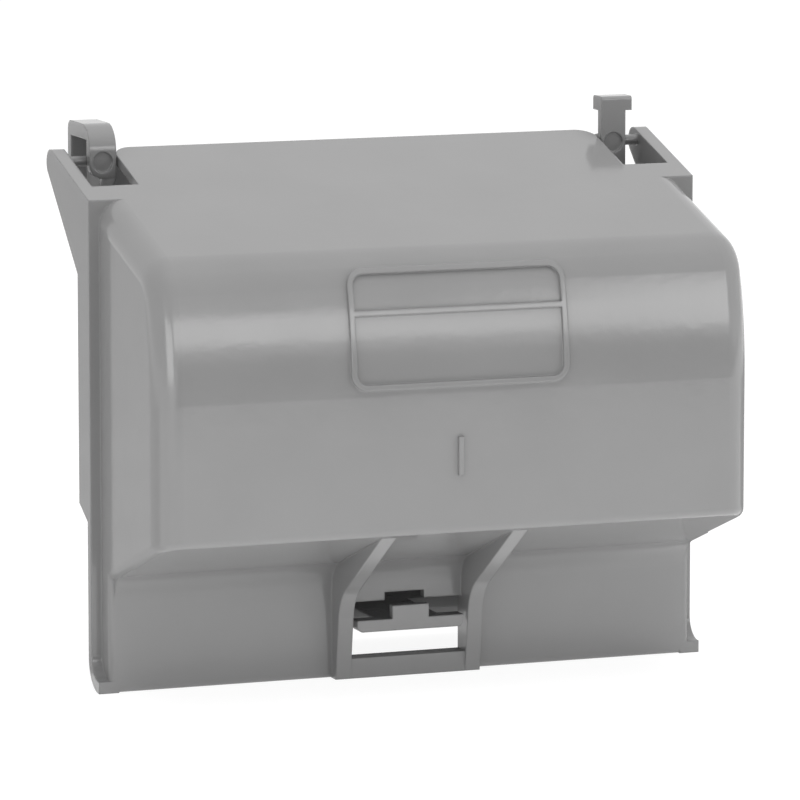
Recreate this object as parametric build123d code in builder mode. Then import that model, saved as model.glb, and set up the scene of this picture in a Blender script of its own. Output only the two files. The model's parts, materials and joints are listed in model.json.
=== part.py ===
from build123d import *
from math import cos, radians, sin, tan
import os

os.makedirs("parts", exist_ok=True)

# Weatherproof in-use outlet cover, closed, in millimetres.
# The origin is the centre of the mounting face, which lies on the wall. -Y faces the user and +Z is up.
# Lid sizes are measured back from its lower panel's face and up from that panel's lower edge.

# Lid casting
panel_width = 145.0
lid_wall = 2.3
panel_standoff = 45.0
lid_drop = 62.65
panel_height = 26.3
top_slope = 17.3
plate_back = 33.9
edge_round = 0.8
panel_edge_round = 1.2
clearing = 1.0

# Hood: a slope, two arcs and a plane front over a sloping underside
slope_run = 25.7
brow_radius = 11.5
brow_end = 75.0
face_radius = 95.0
hood_foot = 39.5
hood_corner = 6.0
foot_round = 2.2
crease_radius = 7.0

# Flange round the lid, a step behind its front, with the side skirts and ears
flange_reach = 2.6
flange_step = 5.5
flange_height = 113.9
ear_thickness = 3.3
skirt_back = 14.1
skirt_foot = 42.6
skirt_lead = 3.5
skirt_top = 96.0
ear_back = 37.5
ear_heel = 118.2
ear_round = 3.0
shelf_height = 2.8
shelf_round = 7.5

# Hinge
pivot_back = 32.4
pivot_height = 120.0
pin_radius = 1.25
pin_clearance = 0.07
pin_inset = 0.8
notch_gap = 0.5
notch_front = 13.2
notch_round = 4.6

# Latch window, the ribs beside it and the raised border on the hood
window_half = 14.3
window_foot = 4.75
window_head = 17.6
relief_half = 4.9
relief_height = 1.9
rib_outer = 18.0
rib_proud = 2.5
rib_lean = 2.6
rib_knee = 19.5
rib_knee_radius = 11.0
rib_seat = 0.4
border_half = 26.5
border_foot = 73.0
border_head = 100.5
border_divider = 90.5
border_line = 1.3
border_proud = 0.7
border_corner = 4.0
tick_height = 9.0
tick_width = 1.3
tick_centre = 57.0

# Base casting
base_size = 114.3
base_corner = 5.0
plate_thickness = 3.5
rim_wall = 2.4
rim_half = 55.0
rim_top = 52.0
rim_depth = 21.5
rim_corner = 8.0
cord_slot_width = 17.0
cord_slot_offset = 32.0
cord_slot_depth = 15.0
cord_slot_round = 4.0
device_width = 72.0
device_height = 44.0

# Hinge hooks on the base
hook_front = 28.2
hook_strap = 2.3
hook_roof = 3.4
hook_web = 2.5
left_hook_top = 128.6
left_hook_gap = 4.3
left_hook_width = 6.5
right_hook_top = 131.0
right_hook_gap = 4.6
right_hook_width = 6.2
cap_reach = 1.6
cap_depth = 5.4
brow_of_hook = 6.0
heel_of_hook = 2.2
pad_radius = 2.4
pad_depth = 0.5
hook_tip = 116.2
hook_tip_round = 3.1
post_foot = 113.4
bracket_foot = 104.0

# Latch tongue on the base
tongue_tip = 4.3
tongue_thickness = 2.8
tongue_foot = 11.1
tongue_half = 13.2
tongue_neck = 8.0
bar_depth = 4.0
tab_half = 4.5
tab_height = 3.1
tab_thickness = 2.2

# Device insert, gaskets and fasteners
insert_width = 88.0
insert_height = 58.0
insert_thickness = 2.6
insert_corner = 4.0
insert_bevel = 0.6
face_width = 67.0
face_height = 33.6
face_corner = 3.0
foam_thickness = 1.2
box_width = 110.0
box_height = 66.0
gasket_thickness = 1.6
screw_spacing = 83.3
screw_radius = 1.75
screw_neck_radius = 1.45
screw_neck_gap = 0.5
screw_hole_radius = 2.1
screw_reach = 16.0
head_radius = 3.9
head_height = 2.4
slot_width = 0.9
slot_depth = 1.1
head_bevel = 0.8
washer_radius = 4.6
washer_thickness = 1.2
washer_fit = 0.1
insert_screw_offset = 25.5
insert_screw_radius = 1.25
insert_hole_radius = 1.55
insert_head_radius = 2.5
insert_head_height = 1.6
insert_head_bevel = 0.5
insert_screw_gap = 0.2

panel_half = panel_width / 2
inner_half = panel_half - lid_wall
flange_half = panel_half + flange_reach
ear_inner = flange_half - ear_thickness
left_hook_outer = ear_inner - left_hook_gap
left_hook_inner = left_hook_outer - left_hook_width
right_hook_outer = ear_inner - right_hook_gap
right_hook_inner = right_hook_outer - right_hook_width
notch_inner = min(left_hook_inner, right_hook_inner) - notch_gap
pin_end = min(left_hook_inner, right_hook_inner) + pin_inset
flange_back = flange_step + lid_wall
base_half = base_size / 2
plate_front = -plate_thickness
rim_front = plate_front - rim_depth
rim_foot = tongue_foot - lid_drop
rim_mid = (rim_top + rim_foot) / 2
rim_height = rim_top - rim_foot
pivot_y = pivot_back - panel_standoff
pivot_z = pivot_height - lid_drop
slope_drop = tan(radians(top_slope))


def at(back, up):
    """A place in the side view, from the lid's own datum to the wall's."""
    return (back - panel_standoff, up - lid_drop)


def plate_level(back, inset=0.0):
    """Height of the sloping top, or of a face that lies inset below it."""
    return flange_height + (back - flange_step) * slope_drop - inset / cos(radians(top_slope))


def hood_face():
    """How far forward the plane front of the hood stands."""
    tilt_0, tilt_1 = radians(top_slope), radians(brow_end)
    brow = brow_radius * (sin(tilt_1) - sin(tilt_0))
    return slope_run + brow + face_radius * (1 - sin(tilt_1))


def underside_level(back, inset=0.0):
    """Height of the hood's underside, or of a face that lies inset above it."""
    fall = (hood_foot - panel_height) / hood_face()
    return panel_height - back * fall + inset * (1 + fall * fall) ** 0.5


def hood_profile(inset, back):
    """The hood's side view, inset from its outside and closed by an upright line."""
    lean = radians(top_slope)
    start = at(-slope_run + inset * sin(lean), plate_level(-slope_run) - inset * cos(lean))
    heading = (-cos(lean), -sin(lean))
    brow = JernArc(start, heading, brow_radius - inset, brow_end - top_slope)
    front = JernArc(brow @ 1, brow % 1, face_radius - inset, 90 - brow_end)
    face = -hood_face() + inset
    foot = at(face, underside_level(face, inset))
    heel = at(back, underside_level(back, inset))
    head = at(back, plate_level(back, inset))
    Polyline(front @ 1, foot, heel, head, start)


def hood_solid_edges(part):
    """The long edges of a hood, from its slope round to the foot of its front."""
    ends = part.faces().filter_by(Axis.X).edges()
    forward = ends.filter_by(lambda edge: edge.center().Y < -panel_standoff)
    return forward.filter_by(lambda edge: edge.center().Z > hood_foot - lid_drop)


# Inside of the hood, taken out of the lid below
with BuildPart() as hood_core:
    with BuildSketch(Plane.YZ):
        with BuildLine():
            hood_profile(lid_wall, flange_back + clearing)
        make_face()
    extrude(amount=inner_half, both=True)
    fillet(hood_solid_edges(hood_core), hood_corner - lid_wall)

# The hood's outside, and the same grown by the height of the raised border
with BuildPart() as hood:
    with BuildSketch(Plane.YZ):
        with BuildLine():
            hood_profile(0, flange_back)
        make_face()
    extrude(amount=panel_half, both=True)
    fillet(hood_solid_edges(hood), hood_corner)
    foot_edges = hood.edges().filter_by(Axis.X).sort_by(Axis.Y)[0:4].sort_by(Axis.Z)[0:1]
    fillet(foot_edges, foot_round)

with BuildPart() as hood_raised:
    with BuildSketch(Plane.YZ):
        with BuildLine():
            hood_profile(-border_proud, lid_wall)
        make_face()
    extrude(amount=panel_half, both=True)

# Outline of the raised border with its dividing line, and a plain upright tick below it
with BuildPart() as border:
    with BuildSketch(Plane.XZ.offset(panel_standoff)) as border_outline:
        mid = (border_foot + border_head) / 2 - lid_drop
        with Locations((0, mid)):
            RectangleRounded(2 * border_half, border_head - border_foot, border_corner)
            RectangleRounded(
                2 * (border_half - border_line),
                border_head - border_foot - 2 * border_line,
                border_corner - border_line,
                mode=Mode.SUBTRACT,
            )
        with Locations((0, border_divider - lid_drop)):
            Rectangle(2 * border_half - border_line, border_line)
        with Locations((0, tick_centre - lid_drop)):
            Rectangle(tick_width, tick_height)
    extrude(amount=hood_face() + 2 * border_proud)
    add(hood_raised.part, mode=Mode.INTERSECT)

with BuildPart() as lid:
    # Lower panel with rounded edges, and the hood above it
    with BuildSketch(Plane.XZ.offset(panel_standoff - flange_back)):
        with Locations((0, -lid_drop)):
            Rectangle(panel_width, hood_foot, align=(Align.CENTER, Align.MIN))
    extrude(amount=flange_back)
    fillet(lid.faces().sort_by(Axis.Y)[0].edges(), panel_edge_round)
    add(hood.part)
    add(border.part)

    # Flange, skirt and ear of each side, and the shelf that turns forward at the foot
    with BuildSketch(Plane.YZ.offset(inner_half), Plane.YZ.offset(-flange_half)) as side_view:
        with BuildLine():
            Polyline(
                at(0, 0),
                at(0, shelf_height),
                at(flange_step, shelf_height),
                at(flange_step, flange_height),
                at(ear_back, plate_level(ear_back)),
                at(ear_back, ear_heel),
                at(skirt_back, skirt_top),
                at(skirt_back, skirt_foot),
                at(flange_back, skirt_foot - skirt_lead),
                at(flange_back, 0),
                at(0, 0),
            )
        make_face()
        for corner, radius in (
            (at(flange_step, shelf_height), shelf_round - lid_wall),
            (at(flange_back, 0), shelf_round),
            (at(ear_back, plate_level(ear_back)), ear_round),
            (at(ear_back, ear_heel), ear_round),
        ):
            place = side_view.vertices().sort_by_distance((*corner, 0))[0]
            fillet(place, radius)
    extrude(amount=flange_half - inner_half)

    # Top plate, in one plane with the hood's slope
    with BuildSketch(Plane.YZ):
        with BuildLine():
            Polyline(
                at(flange_step, plate_level(flange_step)),
                at(plate_back, plate_level(plate_back)),
                at(plate_back, plate_level(plate_back, lid_wall)),
                at(flange_step, plate_level(flange_step, lid_wall)),
                close=True,
            )
        make_face()
    extrude(amount=ear_inner, both=True)

    # Rounded crease between the hood's underside and the lower panel
    crease_run = 2 * crease_radius
    with BuildSketch(Plane.YZ):
        with BuildLine():
            FilletPolyline(
                at(0, panel_height - crease_run),
                at(0, panel_height),
                at(-crease_run, underside_level(-crease_run)),
                radius=crease_radius,
            )
            Polyline(
                at(-crease_run, underside_level(-crease_run)),
                at(-crease_run, panel_height + crease_run),
                at(lid_wall, panel_height + crease_run),
                at(lid_wall, panel_height - crease_run),
                at(0, panel_height - crease_run),
            )
        make_face()
    extrude(amount=panel_half - panel_edge_round, both=True)

    # Hollows behind the lower panel, between the skirts and inside the hood
    with BuildSketch(Plane.XZ.offset(panel_standoff - lid_wall)):
        with Locations((0, -lid_drop - clearing)):
            Rectangle(2 * inner_half, hood_foot + clearing, align=(Align.CENTER, Align.MIN))
    extrude(amount=-flange_step - clearing, mode=Mode.SUBTRACT)
    with BuildSketch(Plane.YZ):
        with BuildLine():
            Polyline(
                at(flange_back, -clearing),
                at(flange_back, plate_level(flange_back, lid_wall)),
                at(plate_back, plate_level(plate_back, lid_wall)),
                at(plate_back, right_hook_top),
                at(ear_back + clearing, right_hook_top),
                at(ear_back + clearing, -clearing),
                close=True,
            )
        make_face()
    extrude(amount=ear_inner, both=True, mode=Mode.SUBTRACT)
    add(hood_core.part, mode=Mode.SUBTRACT)

    # Notches in the top plate for the hinge hooks
    notch_width = ear_inner - notch_inner
    notch_mid = (ear_inner + notch_inner) / 2
    notch_level = plate_level(notch_front, lid_wall) - clearing
    with BuildSketch(Plane.XY.offset(notch_level - lid_drop)):
        with Locations((-notch_mid, 0), (notch_mid, 0)):
            Rectangle(
                notch_width,
                panel_standoff - notch_front,
                align=(Align.CENTER, Align.MAX),
            )
    extrude(amount=right_hook_top - notch_level, mode=Mode.SUBTRACT)
    plate_corners = lid.edges().filter_by(Axis.Z).filter_by(
        lambda edge: abs(abs(edge.center().X) - notch_inner) < 0.1
        and abs(edge.center().Y - plate_back + panel_standoff) < 0.1
    )
    fillet(plate_corners, notch_round)

    # Stub pins, cast in one with the ears
    pin_root = flange_half - ear_thickness / 2
    with BuildSketch(Plane.YZ.offset(pin_end)):
        with Locations((pivot_y, pivot_z)):
            Circle(pin_radius)
    extrude(amount=pin_root - pin_end)
    with BuildSketch(Plane.YZ.offset(-pin_end)):
        with Locations((pivot_y, pivot_z)):
            Circle(pin_radius)
    extrude(amount=pin_end - pin_root)

    # Ribs each side of the latch window, and the bar under it
    rib_top = foot_round - hood_face()
    rib_top_level = underside_level(-hood_face()) - rib_seat
    rib_mid = (rib_outer + window_half) / 2
    with BuildSketch(Plane.YZ.offset(rib_mid), Plane.YZ.offset(-rib_mid)):
        with BuildLine():
            FilletPolyline(
                at(-rib_proud, 0),
                at(-rib_proud - rib_lean, rib_knee),
                at(rib_top, rib_top_level),
                radius=rib_knee_radius,
            )
            Polyline(
                at(rib_top, rib_top_level),
                at(rib_top, rib_top_level + clearing),
                at(lid_wall / 2, panel_height + clearing),
                at(lid_wall / 2, 0),
                at(-rib_proud, 0),
            )
        make_face()
    extrude(amount=(rib_outer - window_half) / 2, both=True)
    with BuildSketch(Plane.XZ.offset(panel_standoff + rib_proud)):
        with Locations((0, window_foot / 2 - lid_drop)):
            Rectangle(2 * window_half, window_foot)
    extrude(amount=-rib_proud - lid_wall / 2)

    # The window, with a relief in its head over the latch tab
    with BuildSketch(Plane.XZ.offset(panel_standoff + rib_proud + clearing)):
        with Locations((0, (window_head + window_foot) / 2 - lid_drop)):
            Rectangle(2 * window_half, window_head - window_foot)
        with Locations((0, window_head - lid_drop)):
            Rectangle(2 * relief_half, 2 * relief_height)
    extrude(amount=-(rib_proud + lid_wall + 2 * clearing), mode=Mode.SUBTRACT)

lid.part.label = "lid"
export_step(lid.part, "parts/lid.step")


def rim_block(inset):
    """Outline of the base's rim, inset from its outside."""
    with Locations((0, rim_mid)):
        RectangleRounded(2 * (rim_half - inset), rim_height - 2 * inset, rim_corner - inset)


with BuildPart() as base_frame:
    # Mounting plate with a pad at each top corner to carry the hooks
    with BuildSketch(Plane.XZ):
        RectangleRounded(base_size, base_size, base_corner)
        pad_height = base_half - (bracket_foot - lid_drop)
        with Locations((0, base_half - pad_height / 2)):
            RectangleRounded(2 * left_hook_outer, pad_height, base_corner)
    extrude(amount=plate_thickness)

    # Rim round the device, standing forward from the plate
    with BuildSketch(Plane.XZ.offset(plate_thickness)):
        rim_block(0)
        rim_block_inner = RectangleRounded(
            2 * (rim_half - rim_wall),
            rim_height - 2 * tongue_thickness,
            rim_corner - rim_wall,
            mode=Mode.PRIVATE,
        )
        add(rim_block_inner.moved(Location((0, rim_mid, 0))), mode=Mode.SUBTRACT)
    extrude(amount=rim_depth)

    # Cord slots in the foot of the rim
    cord_slot_length = cord_slot_depth + 2 * clearing
    cord_slot_y = rim_front - 2 * clearing + cord_slot_length / 2
    with BuildSketch(Plane.XY.offset(rim_foot - clearing)):
        with Locations((-cord_slot_offset, cord_slot_y), (cord_slot_offset, cord_slot_y)):
            RectangleRounded(cord_slot_width, cord_slot_length, cord_slot_round)
    extrude(amount=tongue_thickness + rim_corner, mode=Mode.SUBTRACT)

    # Latch tongue: a neck from the rim's foot, a bar across its tip and an upright tab
    tip_y = -panel_standoff - tongue_tip
    with BuildSketch(Plane.XY.offset(rim_foot)):
        with Locations((0, tip_y)):
            Rectangle(2 * tongue_neck, rim_front - tip_y, align=(Align.CENTER, Align.MIN))
            Rectangle(2 * tongue_half, bar_depth, align=(Align.CENTER, Align.MIN))
    extrude(amount=tongue_thickness)
    bar_ends = base_frame.edges().filter_by(Axis.Y).filter_by(
        lambda edge: abs(abs(edge.center().X) - tongue_half) < 0.1
        and edge.center().Y < rim_front
        and edge.center().Z < rim_foot + 0.1
    )
    fillet(bar_ends, tongue_thickness / 2)
    with BuildSketch(Plane.XY.offset(rim_foot + tongue_thickness)):
        with Locations((0, tip_y)):
            Rectangle(2 * tab_half, tab_thickness, align=(Align.CENTER, Align.MIN))
    extrude(amount=tab_height)

    # Left hook: an arch from the plate over the pin, with a pocket open to the left
    with BuildSketch(Plane.YZ.offset(-left_hook_inner)) as arch:
        with BuildLine():
            Polyline(
                at(hook_front, hook_tip),
                at(hook_front, left_hook_top),
                at(panel_standoff, left_hook_top),
                at(panel_standoff, bracket_foot),
                at(panel_standoff - plate_thickness, bracket_foot),
                at(hook_front, hook_tip),
            )
        make_face()
        for corner, radius in (
            (at(hook_front, left_hook_top), brow_of_hook),
            (at(panel_standoff, left_hook_top), heel_of_hook),
        ):
            place = arch.vertices().sort_by_distance((*corner, 0))[0]
            fillet(place, radius)
    extrude(amount=-(left_hook_outer - left_hook_inner))
    pocket_front = hook_front + hook_strap
    pocket_back = panel_standoff - hook_strap
    with BuildSketch(Plane.YZ.offset(-left_hook_inner - hook_web)):
        with BuildLine():
            Polyline(
                at(pocket_front, bracket_foot - clearing),
                at(pocket_front, left_hook_top - hook_roof),
                at(pocket_back, left_hook_top - hook_roof),
                at(pocket_back, bracket_foot - clearing),
                close=True,
            )
        make_face()
    extrude(amount=-(left_hook_outer - left_hook_inner), mode=Mode.SUBTRACT)
    with BuildSketch(Plane.XZ.offset(panel_standoff - hook_front)):
        with Locations((-left_hook_outer, hook_tip - lid_drop)):
            Rectangle(2 * hook_tip_round, 2 * hook_tip_round)
        with Locations((hook_tip_round - left_hook_outer, hook_tip_round + hook_tip - lid_drop)):
            Circle(hook_tip_round, mode=Mode.SUBTRACT)
    extrude(amount=-hook_strap, mode=Mode.SUBTRACT)

    # Right hook: a post with a cap turned back over the pin, on a web from the plate
    with BuildSketch(Plane.YZ.offset(right_hook_inner)):
        with BuildLine():
            Polyline(
                at(hook_front, post_foot),
                at(hook_front, pivot_height + 2 * pin_radius),
                at(panel_standoff - plate_thickness, base_half + lid_drop),
                at(panel_standoff - plate_thickness, bracket_foot),
                close=True,
            )
        make_face()
    extrude(amount=hook_web)
    with BuildSketch(Plane.YZ.offset(right_hook_inner)):
        with BuildLine():
            Polyline(
                at(hook_front, post_foot),
                at(hook_front, right_hook_top),
                at(pocket_front, right_hook_top),
                at(pocket_front, post_foot - clearing),
                close=True,
            )
        make_face()
    extrude(amount=right_hook_outer - right_hook_inner)
    with BuildSketch(Plane.YZ.offset(right_hook_inner)):
        with Locations(at(hook_front + cap_depth / 2, right_hook_top - hook_roof / 2)):
            Rectangle(cap_depth, hook_roof)
    extrude(amount=right_hook_outer - right_hook_inner + cap_reach)
    cap_edges = base_frame.edges().filter_by(Axis.X).filter_by(
        lambda edge: edge.center().X > right_hook_inner
        and edge.center().Z > right_hook_top - lid_drop - 0.1
    )
    fillet(cap_edges, edge_round)

    # Bores for the stub pins and the dished pads on the hooks
    with BuildSketch(Plane.YZ.offset(-base_size)):
        with Locations((pivot_y, pivot_z)):
            Circle(pin_radius + pin_clearance)
    extrude(amount=2 * base_size, mode=Mode.SUBTRACT)
    left_mid = -(left_hook_inner + left_hook_outer) / 2
    right_mid = (right_hook_inner + right_hook_outer) / 2
    with BuildSketch(Plane.XZ.offset(panel_standoff - hook_front)):
        with Locations((left_mid, pivot_z), (right_mid, pivot_z)):
            Circle(pad_radius)
    extrude(amount=-pad_depth, mode=Mode.SUBTRACT)

    # Device opening, mounting holes, insert screw holes and the gasket's recess
    with BuildSketch(Plane.XZ.offset(-clearing)):
        RectangleRounded(device_width, device_height, rim_corner)
        with Locations((-screw_spacing / 2, 0), (screw_spacing / 2, 0)):
            Circle(screw_hole_radius)
        with Locations((0, -insert_screw_offset), (0, insert_screw_offset)):
            Circle(insert_screw_radius)
    extrude(amount=plate_thickness + 2 * clearing, mode=Mode.SUBTRACT)
    with BuildSketch(Plane.XZ):
        RectangleRounded(box_width, box_height, base_corner)
    extrude(amount=gasket_thickness, mode=Mode.SUBTRACT)

base_frame.part.label = "base_frame"
export_step(base_frame.part, "parts/base_frame.step")

with BuildPart() as box_gasket:
    with BuildSketch(Plane.XZ):
        RectangleRounded(box_width, box_height, base_corner)
        RectangleRounded(device_width, device_height, rim_corner, mode=Mode.SUBTRACT)
        with Locations((-screw_spacing / 2, 0), (screw_spacing / 2, 0)):
            Circle(screw_hole_radius, mode=Mode.SUBTRACT)
    extrude(amount=gasket_thickness)

box_gasket.part.label = "box_gasket"
export_step(box_gasket.part, "parts/box_gasket.step")


def insert_ring(width, height, corner):
    """Outline shared by the device insert and its gasket, with its screw holes."""
    RectangleRounded(insert_width, insert_height, insert_corner)
    RectangleRounded(width, height, corner, mode=Mode.SUBTRACT)
    with Locations((0, -insert_screw_offset), (0, insert_screw_offset)):
        Circle(insert_hole_radius, mode=Mode.SUBTRACT)
    with Locations((-screw_spacing / 2, 0), (screw_spacing / 2, 0)):
        Circle(washer_radius + clearing, mode=Mode.SUBTRACT)


insert_back = plate_thickness + foam_thickness
insert_front = insert_back + insert_thickness

with BuildPart() as insert_gasket:
    with BuildSketch(Plane.XZ.offset(plate_thickness)):
        insert_ring(device_width, device_height, rim_corner)
    extrude(amount=foam_thickness)

insert_gasket.part.label = "insert_gasket"
export_step(insert_gasket.part, "parts/insert_gasket.step")

with BuildPart() as device_insert:
    with BuildSketch(Plane.XZ.offset(insert_back)):
        insert_ring(face_width, face_height, face_corner)
    extrude(amount=insert_thickness)
    chamfer(device_insert.faces().sort_by(Axis.Y)[0].outer_wire().edges(), insert_bevel)

device_insert.part.label = "device_insert"
export_step(device_insert.part, "parts/device_insert.step")


def slotted_screw(stand, reach, neck, neck_reach, shank, head, height, bevel):
    """A pan-head screw, necked under its head, which stands forward from a given place."""
    with BuildPart() as screw:
        with BuildSketch(Plane.XZ.offset(stand)):
            Circle(head)
        extrude(amount=height)
        chamfer(screw.faces().sort_by(Axis.Y)[0].edges(), bevel)
        with BuildSketch(Plane.XZ.offset(stand + height)):
            Rectangle(2 * head, slot_width)
        extrude(amount=-slot_depth, mode=Mode.SUBTRACT)
        with BuildSketch(Plane.XZ.offset(stand)):
            Circle(neck)
        extrude(amount=-neck_reach)
        with BuildSketch(Plane.XZ.offset(stand - neck_reach)):
            Circle(shank)
        extrude(amount=neck_reach - reach)
    return screw.part


washer_face = plate_thickness + washer_thickness
insert_reach = insert_front - gasket_thickness - insert_screw_gap
mounting_screw = slotted_screw(
    washer_face,
    screw_reach,
    screw_neck_radius,
    washer_face + screw_neck_gap,
    screw_radius,
    head_radius,
    head_height,
    head_bevel,
)
insert_screw = slotted_screw(
    insert_front,
    insert_reach,
    insert_screw_radius,
    insert_thickness + foam_thickness,
    insert_screw_radius,
    insert_head_radius,
    insert_head_height,
    insert_head_bevel,
)

with BuildPart() as sealing_washer:
    with BuildSketch(Plane.XZ.offset(plate_thickness)):
        Circle(washer_radius)
        Circle(screw_neck_radius + washer_fit, mode=Mode.SUBTRACT)
    extrude(amount=washer_thickness)

for name, side in (("left", -1), ("right", 1)):
    place = Location((side * screw_spacing / 2, 0, 0))
    screw = mounting_screw.moved(place)
    screw.label = "mounting_screw_" + name
    export_step(screw, "parts/" + screw.label + ".step")
    washer = sealing_washer.part.moved(place)
    washer.label = "sealing_washer_" + name
    export_step(washer, "parts/" + washer.label + ".step")

for name, side in (("lower", -1), ("upper", 1)):
    screw = insert_screw.moved(Location((0, 0, side * insert_screw_offset)))
    screw.label = "insert_screw_" + name
    export_step(screw, "parts/" + screw.label + ".step")
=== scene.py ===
import json
import math

import bpy
from mathutils import Matrix, Vector


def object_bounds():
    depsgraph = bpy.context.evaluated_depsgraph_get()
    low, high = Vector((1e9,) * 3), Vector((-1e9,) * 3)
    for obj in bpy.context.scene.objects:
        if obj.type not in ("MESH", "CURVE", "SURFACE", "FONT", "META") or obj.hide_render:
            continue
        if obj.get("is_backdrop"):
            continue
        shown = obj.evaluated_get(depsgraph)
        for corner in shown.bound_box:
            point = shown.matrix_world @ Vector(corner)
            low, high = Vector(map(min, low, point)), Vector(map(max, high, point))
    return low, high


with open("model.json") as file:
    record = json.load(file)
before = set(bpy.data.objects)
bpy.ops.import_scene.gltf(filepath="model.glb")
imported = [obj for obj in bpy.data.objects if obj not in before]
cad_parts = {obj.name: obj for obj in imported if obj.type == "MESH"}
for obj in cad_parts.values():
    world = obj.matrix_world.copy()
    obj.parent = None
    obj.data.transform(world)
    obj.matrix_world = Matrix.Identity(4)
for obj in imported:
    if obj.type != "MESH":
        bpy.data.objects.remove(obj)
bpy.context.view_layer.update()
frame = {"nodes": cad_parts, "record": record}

# Camera, in metres and degrees, as fitted to the photograph
CAMERA_PLACE = Vector((-0.49772, -1.37336, 0.21155))
CAMERA_YAW = 20.5
CAMERA_PITCH = 8.4
CAMERA_LENS = 276.7
SENSOR = 36.0

# Finishes: greys as linear values, tones as shares of that grey, roughness from and to, relief as
# strength and depth in metres, and grains as the scales of the noise
COAT_GREY = 0.206
COAT_TONES = (0.975, 1.025)
COAT_GRAINS = {"tone": 38.0, "roughness": 60.0, "wave": 45.0, "peel": 420.0}
COAT_ROUGHNESS = (0.11, 0.14)
COAT_IOR = 1.5
COAT_RELIEF = (0.1, 0.0004)
COAT_EDGE_RADIUS = 0.0006
COAT_EDGE_SAMPLES = 6
INSERT_GREY = 0.24
INSERT_TONES = (0.96, 1.04)
INSERT_GRAINS = {"tone": 120.0, "roughness": 200.0, "relief": 1500.0}
INSERT_ROUGHNESS = (0.5, 0.62)
INSERT_RELIEF = (0.25, 0.0002)
RUBBER_BLACK = 0.035
RUBBER_TONES = (0.8, 1.3)
RUBBER_GRAIN = 300.0
RUBBER_ROUGHNESS = 0.85
RUBBER_RELIEF = (0.4, 0.0003)
RUBBER_CELLS = 900.0
ZINC_GREY = 0.62
ZINC_TONES = (0.85, 1.0)
ZINC_GRAINS = {"tone": 500.0, "roughness": 700.0, "relief": 2200.0}
ZINC_ROUGHNESS = (0.28, 0.42)
ZINC_RELIEF = (0.2, 0.0001)

# Lamps: azimuth and elevation in degrees, distance, width and height in metres, power in watts
LIGHT_AIM = Vector((0, -0.045, 0))
SOFT_BOXES = {
    "overhead": (40, 83, 1.6, (1.6, 1.2), 25.0),
    "left_fill": (-75, 18, 1.8, (1.2, 1.2), 2.6),
    "right_fill": (62, 6, 1.8, (1.2, 1.0), 8.4),
}
MIRRORED_STRIPS = {
    "brow_strip": (3, 12.0, 2.0, (1.4, 0.29), 4.8),
    "brow_strip_end": (29.8, 12.3, 1.95, (0.45, 0.41), 2.2),
    "edge_strip": (-36, 5, 1.9, (0.9, 0.55), 6.0),
}

# Painted reflections: dull cards just over the floor, seen only in the cover's gloss, whose tones paint
# darker reflections there. Tone, then the left, right, near and far edges in metres
PAINTED_REFLECTION_CARDS = {
    "floor_card": (0.015, -0.25, 3.0, -0.55, -3.5),
    "side_card": (0.54, -0.6, -0.078, -0.08, 1.2),
    "under_card": (0.24, 0.05, 0.6, -0.04, 0.6),
}
CARD_LIFT = 0.002
CARD_TONES = (0.9, 1.1)
CARD_GRAIN = 20.0
CARD_ROUGHNESS = 0.9
FAR_CARD_TOP = 0.25

# Floor and world
FLOOR_HALF = 6.0
FLOOR_TONES = (0.9, 0.92)
FLOOR_GRAIN = 3.0
FLOOR_ROUGHNESS = 0.9
FLOOR_GLOW = 0.5
FLOOR_WHITE_SHARE = 0.8
WORLD_DIM = 0.58
WHITE = (1, 1, 1, 1)


def new_material(name):
    """A new material, its node tree and its shader node."""
    material = bpy.data.materials.new(name)
    material.use_nodes = True
    tree = material.node_tree
    return material, tree, tree.nodes["Principled BSDF"]


def grain(tree, scale, detail=4.0):
    """Noise over the object's own coordinates."""
    place = tree.nodes.new("ShaderNodeTexCoord")
    noise = tree.nodes.new("ShaderNodeTexNoise")
    noise.inputs["Scale"].default_value = scale
    noise.inputs["Detail"].default_value = detail
    tree.links.new(place.outputs["Object"], noise.inputs["Vector"])
    return noise.outputs["Fac"]


def ramp(tree, factor, low, high, start=0.3, end=0.7):
    """Maps a factor to a range of values, such as greys or roughness."""
    node = tree.nodes.new("ShaderNodeMapRange")
    node.inputs["From Min"].default_value = start
    node.inputs["From Max"].default_value = end
    node.inputs["To Min"].default_value = low
    node.inputs["To Max"].default_value = high
    tree.links.new(factor, node.inputs["Value"])
    return node.outputs["Result"]


def mottle(tree, level, tones, scale):
    """A neutral colour that wanders between two shares of its level."""
    low, high = tones
    return grey(tree, ramp(tree, grain(tree, scale), level * low, level * high))


def grey(tree, value):
    """Turns one value into a neutral colour."""
    node = tree.nodes.new("ShaderNodeCombineColor")
    for channel in ("Red", "Green", "Blue"):
        tree.links.new(value, node.inputs[channel])
    return node.outputs["Color"]


def soft_edges(tree, radius):
    """The slight rounding that casting and coating leave on every edge."""
    node = tree.nodes.new("ShaderNodeBevel")
    node.samples = COAT_EDGE_SAMPLES
    node.inputs["Radius"].default_value = radius
    return node.outputs["Normal"]


def bump(tree, heights, relief, normal=None):
    """Bump from one or more height values, each laid on the one before."""
    strength, distance = relief
    for height, share in heights:
        node = tree.nodes.new("ShaderNodeBump")
        node.inputs["Strength"].default_value = strength * share
        node.inputs["Distance"].default_value = distance
        tree.links.new(height, node.inputs["Height"])
        if normal is not None:
            tree.links.new(normal, node.inputs["Normal"])
        normal = node.outputs["Normal"]
    return normal


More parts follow.
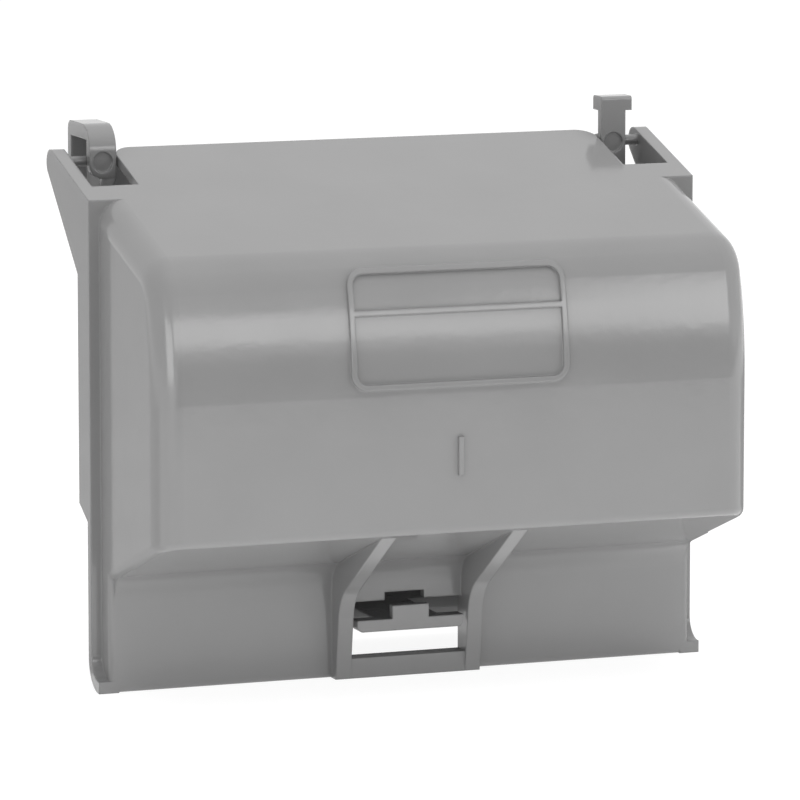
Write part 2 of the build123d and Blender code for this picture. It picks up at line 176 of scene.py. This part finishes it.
def coat_material():
    """Smooth glossy grey coating on a die casting, with a faint orange peel and soft edges."""
    material, tree, shader = new_material("grey_coating")
    tone = mottle(tree, COAT_GREY, COAT_TONES, COAT_GRAINS["tone"])
    tree.links.new(tone, shader.inputs["Base Color"])
    rough = ramp(tree, grain(tree, COAT_GRAINS["roughness"]), *COAT_ROUGHNESS)
    tree.links.new(rough, shader.inputs["Roughness"])
    peel = grain(tree, COAT_GRAINS["peel"], 2.0)
    wave = grain(tree, COAT_GRAINS["wave"], 1.0)
    normal = bump(tree, ((wave, 1.0), (peel, 0.5)), COAT_RELIEF, soft_edges(tree, COAT_EDGE_RADIUS))
    tree.links.new(normal, shader.inputs["Normal"])
    shader.inputs["IOR"].default_value = COAT_IOR
    return material


def rubber_material():
    """Closed-cell black foam and rubber."""
    material, tree, shader = new_material("black_rubber")
    tone = mottle(tree, RUBBER_BLACK, RUBBER_TONES, RUBBER_GRAIN)
    tree.links.new(tone, shader.inputs["Base Color"])
    shader.inputs["Roughness"].default_value = RUBBER_ROUGHNESS
    cells = tree.nodes.new("ShaderNodeTexVoronoi")
    cells.inputs["Scale"].default_value = RUBBER_CELLS
    place = tree.nodes.new("ShaderNodeTexCoord")
    tree.links.new(place.outputs["Object"], cells.inputs["Vector"])
    tree.links.new(bump(tree, ((cells.outputs["Distance"], 1.0),), RUBBER_RELIEF), shader.inputs["Normal"])
    return material


def insert_material():
    """Moulded grey plastic with a fine spark-eroded grain."""
    material, tree, shader = new_material("moulded_grey_plastic")
    tone = mottle(tree, INSERT_GREY, INSERT_TONES, INSERT_GRAINS["tone"])
    tree.links.new(tone, shader.inputs["Base Color"])
    rough = ramp(tree, grain(tree, INSERT_GRAINS["roughness"]), *INSERT_ROUGHNESS)
    tree.links.new(rough, shader.inputs["Roughness"])
    sparks = grain(tree, INSERT_GRAINS["relief"], 2.0)
    tree.links.new(bump(tree, ((sparks, 1.0),), INSERT_RELIEF), shader.inputs["Normal"])
    return material


def screw_material():
    """Zinc-plated steel with a fine uneven grain."""
    material, tree, shader = new_material("zinc_plated_steel")
    tone = mottle(tree, ZINC_GREY, ZINC_TONES, ZINC_GRAINS["tone"])
    tree.links.new(tone, shader.inputs["Base Color"])
    shader.inputs["Metallic"].default_value = 1.0
    rough = ramp(tree, grain(tree, ZINC_GRAINS["roughness"]), *ZINC_ROUGHNESS)
    tree.links.new(rough, shader.inputs["Roughness"])
    plating = grain(tree, ZINC_GRAINS["relief"], 2.0)
    tree.links.new(bump(tree, ((plating, 1.0),), ZINC_RELIEF), shader.inputs["Normal"])
    return material


def finish_nodes():
    """Gives each CAD node the material of its slot in the record."""
    makers = {
        "casting": coat_material(),
        "gasket": rubber_material(),
        "insert": insert_material(),
        "screw": screw_material(),
    }
    slots = {part["node"]: part["material_slot"] for part in frame["record"]["subparts"]}
    for name, node in frame["nodes"].items():
        for slot in node.material_slots:
            slot.material = makers[slots[name]]


def place_camera():
    """A long-lens camera that looks at the cover from the left and a little above."""
    yaw, pitch = math.radians(CAMERA_YAW), math.radians(CAMERA_PITCH)
    forward = Vector((math.sin(yaw) * math.cos(pitch), math.cos(yaw) * math.cos(pitch), -math.sin(pitch)))
    right = forward.cross(Vector((0, 0, 1))).normalized()
    up = right.cross(forward)
    data = bpy.data.cameras.new("camera")
    data.lens = CAMERA_LENS
    data.sensor_width = SENSOR
    data.clip_start = 0.05
    data.clip_end = 50.0
    camera = bpy.data.objects.new("camera", data)
    turn = Matrix((right, up, -forward)).transposed()
    camera.matrix_world = Matrix.Translation(CAMERA_PLACE) @ turn.to_4x4()
    bpy.context.scene.collection.objects.link(camera)
    bpy.context.scene.camera = camera


def area_light(name, azimuth, elevation, distance, size, power):
    """A rectangular soft box that faces the cover. Azimuth 0 is in front and 90 is to the right."""
    data = bpy.data.lights.new(name, "AREA")
    data.shape = "RECTANGLE"
    data.size, data.size_y = size
    data.energy = power
    light = bpy.data.objects.new(name, data)
    turn, lift = math.radians(azimuth), math.radians(elevation)
    toward = Vector((math.sin(turn) * math.cos(lift), -math.cos(turn) * math.cos(lift), math.sin(lift)))
    light.location = LIGHT_AIM + toward * distance
    light.rotation_euler = toward.to_track_quat("Z", "Y").to_euler()
    bpy.context.scene.collection.objects.link(light)
    return light


def painted_reflection_card(name, tone, corners):
    """A dull card off camera, seen only in the cover's gloss: a painted reflection of its tone, with no
    light or shadow of its own.
    """
    mesh = bpy.data.meshes.new(name)
    mesh.from_pydata(corners, [], [(0, 1, 2, 3)])
    material, tree, shader = new_material(name)
    # The card's tone sets the shade of the painted reflection
    tree.links.new(mottle(tree, tone, CARD_TONES, CARD_GRAIN), shader.inputs["Base Color"])
    shader.inputs["Roughness"].default_value = CARD_ROUGHNESS
    mesh.materials.append(material)
    card = bpy.data.objects.new(name, mesh)
    # Painted reflection: hidden from the camera, from diffuse light and from shadows
    card.visible_camera = False
    card.visible_diffuse = False
    card.visible_shadow = False
    bpy.context.scene.collection.objects.link(card)
    card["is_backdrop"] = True


def light_studio():
    """Soft boxes that light the cover, the strips that its gloss mirrors, and cards that paint darker
    reflections in that gloss.
    """
    for name, values in SOFT_BOXES.items():
        area_light(name, *values).visible_glossy = False
    for name, values in MIRRORED_STRIPS.items():
        area_light(name, *values).visible_diffuse = False

    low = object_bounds()[0][2]
    flat = low + CARD_LIFT
    for name, (tone, left, right, near, far) in PAINTED_REFLECTION_CARDS.items():
        corners = [(left, near, flat), (right, near, flat), (right, far, flat), (left, far, flat)]
        painted_reflection_card(name, tone, corners)
    # The far card stands up at the far edge of the floor card and paints a dark reflection too
    tone, left, right, _, far = PAINTED_REFLECTION_CARDS["floor_card"]
    corners = [(left, far, low), (right, far, low), (right, far, FAR_CARD_TOP), (left, far, FAR_CARD_TOP)]
    painted_reflection_card("far_card", tone, corners)


def see_through_world():
    """A world that shows white behind the object and lights it at a plain level."""
    world = bpy.data.worlds.new("studio")
    world.use_nodes = True
    tree = world.node_tree
    tree.nodes.clear()
    path = tree.nodes.new("ShaderNodeLightPath")
    shown = path.outputs["Is Camera Ray"]
    for ray in ("Is Glossy Ray", "Is Transmission Ray"):
        either = tree.nodes.new("ShaderNodeMath")
        either.operation = "MAXIMUM"
        tree.links.new(shown, either.inputs[0])
        tree.links.new(path.outputs[ray], either.inputs[1])
        shown = either.outputs["Value"]
    dim = tree.nodes.new("ShaderNodeBackground")
    dim.inputs["Color"].default_value = WHITE
    dim.inputs["Strength"].default_value = WORLD_DIM
    white = tree.nodes.new("ShaderNodeBackground")
    white.inputs["Color"].default_value = WHITE
    white.inputs["Strength"].default_value = 1.0
    mix = tree.nodes.new("ShaderNodeMixShader")
    out = tree.nodes.new("ShaderNodeOutputWorld")
    tree.links.new(shown, mix.inputs["Fac"])
    tree.links.new(dim.outputs["Background"], mix.inputs[1])
    tree.links.new(white.outputs["Background"], mix.inputs[2])
    tree.links.new(mix.outputs["Shader"], out.inputs["Surface"])
    bpy.context.scene.world = world


def lay_floor():
    """A plain pale floor just under the cover, near white to the camera."""
    half, level = FLOOR_HALF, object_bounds()[0][2]
    mesh = bpy.data.meshes.new("floor")
    corners = [(-half, -half, level), (half, -half, level), (half, half, level), (-half, half, level)]
    mesh.from_pydata(corners, [], [(0, 1, 2, 3)])
    floor = bpy.data.objects.new("floor", mesh)
    bpy.context.scene.collection.objects.link(floor)
    material, tree, shader = new_material("pale_floor")
    tone = ramp(tree, grain(tree, FLOOR_GRAIN), *FLOOR_TONES)
    tree.links.new(grey(tree, tone), shader.inputs["Base Color"])
    shader.inputs["Roughness"].default_value = FLOOR_ROUGHNESS
    shader.inputs["Emission Color"].default_value = WHITE
    shader.inputs["Emission Strength"].default_value = FLOOR_GLOW
    path = tree.nodes.new("ShaderNodeLightPath")
    glow = tree.nodes.new("ShaderNodeEmission")
    glow.inputs["Color"].default_value = WHITE
    glow.inputs["Strength"].default_value = 1.0
    share = tree.nodes.new("ShaderNodeMath")
    share.operation = "MULTIPLY"
    share.inputs[1].default_value = FLOOR_WHITE_SHARE
    tree.links.new(path.outputs["Is Camera Ray"], share.inputs[0])
    mix = tree.nodes.new("ShaderNodeMixShader")
    tree.links.new(share.outputs["Value"], mix.inputs["Fac"])
    tree.links.new(shader.outputs["BSDF"], mix.inputs[1])
    tree.links.new(glow.outputs["Emission"], mix.inputs[2])
    tree.links.new(mix.outputs["Shader"], tree.nodes["Material Output"].inputs["Surface"])
    mesh.materials.append(material)
    floor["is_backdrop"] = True


bpy.context.scene.view_settings.view_transform = "Standard"
finish_nodes()
place_camera()
light_studio()
see_through_world()
lay_floor()
